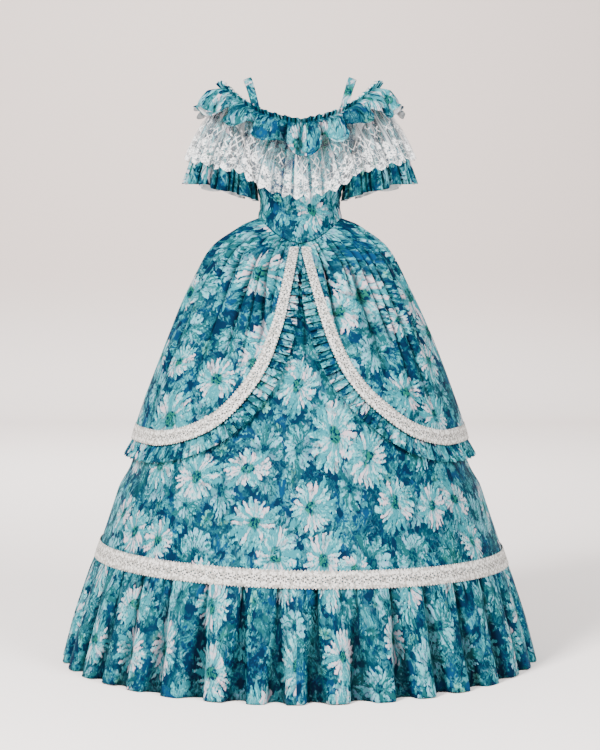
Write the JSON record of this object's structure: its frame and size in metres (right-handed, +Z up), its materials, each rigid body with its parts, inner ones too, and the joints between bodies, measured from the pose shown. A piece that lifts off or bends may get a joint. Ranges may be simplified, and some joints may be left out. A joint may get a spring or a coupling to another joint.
{
  "type": "off-shoulder gown",
  "caption": "Full-length off-shoulder gown, empty as if worn: pointed waist, frilled neck with a lace flounce, flared sleeves, swept-back overskirt and a gathered hem flounce.",
  "frame": {"origin": "middle of the waist, where a wearer or dress form holds the gown, 1.137 m above the floor that its hem reaches", "axes": "+Z up through the neck opening, -Y the wearer's front, +X the wearer's left"},
  "size_m": [1.2241, 1.2502, 1.5008],
  "materials": {
    "print_cloth": "printed satin, soft sheen",
    "lace": "sheer net with dense floral embroidery, matt",
    "galloon_lace": "flat off-white lace ribbon, matt"
  },
  "bodies": {
    "root": {"bodice_front": "print_cloth", "bodice_back_left": "print_cloth", "bodice_back_right": "print_cloth", "shoulder_strap_left": "print_cloth", "shoulder_strap_right": "print_cloth", "neck_flounce": "print_cloth", "lace_flounce": "lace", "sleeve_left": "print_cloth", "sleeve_right": "print_cloth", "underskirt_front": "print_cloth", "underskirt_back": "print_cloth", "hem_flounce": "print_cloth", "hem_trim": "galloon_lace", "overskirt_left": "print_cloth", "overskirt_right": "print_cloth", "edge_trim_left": "galloon_lace", "edge_trim_right": "galloon_lace", "edge_frill_left": "print_cloth", "edge_frill_right": "print_cloth"}
  },
  "joints": []
}
